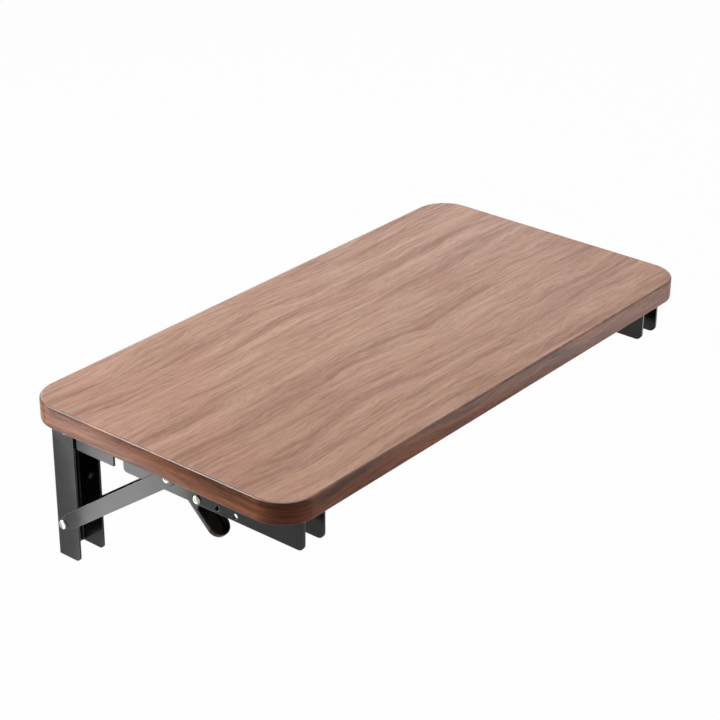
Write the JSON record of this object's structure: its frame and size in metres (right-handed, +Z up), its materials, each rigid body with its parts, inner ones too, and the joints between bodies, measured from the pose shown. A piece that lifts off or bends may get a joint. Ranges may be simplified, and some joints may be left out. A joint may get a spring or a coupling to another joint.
{
  "type": "wall-mounted folding table",
  "caption": "Small rectangular walnut tabletop on folding steel wall brackets with braces and release levers; it folds down against the wall.",
  "frame": {"origin": "centre of the rectangle of the outer wall screw holes, on the wall plane", "axes": "+X along the wall to the right as seen from the room, +Y into the wall, +Z up; the room is on the -Y side"},
  "size_m": [0.6, 0.306, 0.1741],
  "materials": {
    "walnut_faced_board": "walnut decor, satin",
    "core_board": "raw wood fibre",
    "painted_steel": "dark grey, half matt",
    "zinc_plated_steel": "bright zinc plate",
    "spring_steel": "drawn wire",
    "black_screw_steel": "black oxide"
  },
  "bodies": {
    "wall_legs": {"left_wall_leg": "painted_steel", "left_hinge_pin": "zinc_plated_steel", "left_foot_rivet_outer": "zinc_plated_steel", "left_foot_rivet_inner": "zinc_plated_steel", "right_wall_leg": "painted_steel", "right_hinge_pin": "zinc_plated_steel", "right_foot_rivet_outer": "zinc_plated_steel", "right_foot_rivet_inner": "zinc_plated_steel"},
    "tabletop": {"tabletop_core": "core_board", "tabletop_edge_band": "walnut_faced_board", "tabletop_top_sheet": "walnut_faced_board", "tabletop_bottom_sheet": "walnut_faced_board", "left_arm": "painted_steel", "left_lever_pin": "zinc_plated_steel", "left_board_screw_rear": "black_screw_steel", "left_board_screw_middle": "black_screw_steel", "left_board_screw_front": "black_screw_steel", "right_arm": "painted_steel", "right_lever_pin": "zinc_plated_steel", "right_board_screw_rear": "black_screw_steel", "right_board_screw_middle": "black_screw_steel", "right_board_screw_front": "black_screw_steel"},
    "brace_left": {"left_brace_outer_plate": "painted_steel", "left_brace_inner_plate": "painted_steel", "left_head_rivet_outer": "zinc_plated_steel", "left_head_rivet_inner": "zinc_plated_steel"},
    "slide_left": {"left_slide_pin": "zinc_plated_steel"},
    "lever_left": {"left_release_lever": "painted_steel", "left_lever_spring": "spring_steel"},
    "brace_right": {"right_brace_outer_plate": "painted_steel", "right_brace_inner_plate": "painted_steel", "right_head_rivet_outer": "zinc_plated_steel", "right_head_rivet_inner": "zinc_plated_steel"},
    "slide_right": {"right_slide_pin": "zinc_plated_steel"},
    "lever_right": {"right_release_lever": "painted_steel", "right_lever_spring": "spring_steel"}
  },
  "joints": [
    {"name": "tabletop_fold", "type": "hinge", "parent": "wall_legs", "child": "tabletop", "pos_m": [0, -0.0188, 0.0721], "axis": [1, 0, 0], "range_deg": [0, 85]},
    {"name": "left_brace_swing", "type": "hinge", "parent": "wall_legs", "child": "brace_left", "pos_m": [-0.2555, -0.0115, -0.0271], "axis": [1, 0, 0], "range_deg": [0, 112.4]},
    {"name": "left_pin_slide", "type": "slide", "parent": "tabletop", "child": "slide_left", "axis": [0, -0.9973, 0.0732], "range_m": [0, 0.1362]},
    {"name": "left_lever_press", "type": "hinge", "parent": "tabletop", "child": "lever_left", "pos_m": [-0.2555, -0.1773, 0.0603], "axis": [-1, 0, 0], "range_deg": [0, 32], "stiffness_Nm_per_rad": 0.12, "springref_deg": -17.19},
    {"name": "right_brace_swing", "type": "hinge", "parent": "wall_legs", "child": "brace_right", "pos_m": [0.2555, -0.0115, -0.0271], "axis": [1, 0, 0], "range_deg": [0, 112.4]},
    {"name": "right_pin_slide", "type": "slide", "parent": "tabletop", "child": "slide_right", "axis": [0, -0.9973, 0.0732], "range_m": [0, 0.1362]},
    {"name": "right_lever_press", "type": "hinge", "parent": "tabletop", "child": "lever_right", "pos_m": [0.2555, -0.1773, 0.0603], "axis": [-1, 0, 0], "range_deg": [0, 32], "stiffness_Nm_per_rad": 0.12, "springref_deg": -17.19}
  ],
  "couplings": [
    {"joint": "left_brace_swing", "follows": "tabletop_fold", "ratio": 1.3218},
    {"joint": "left_pin_slide", "follows": "tabletop_fold", "m_per_rad": 0.09177},
    {"joint": "right_brace_swing", "follows": "tabletop_fold", "ratio": 1.3218},
    {"joint": "right_pin_slide", "follows": "tabletop_fold", "m_per_rad": 0.09177}
  ]
}
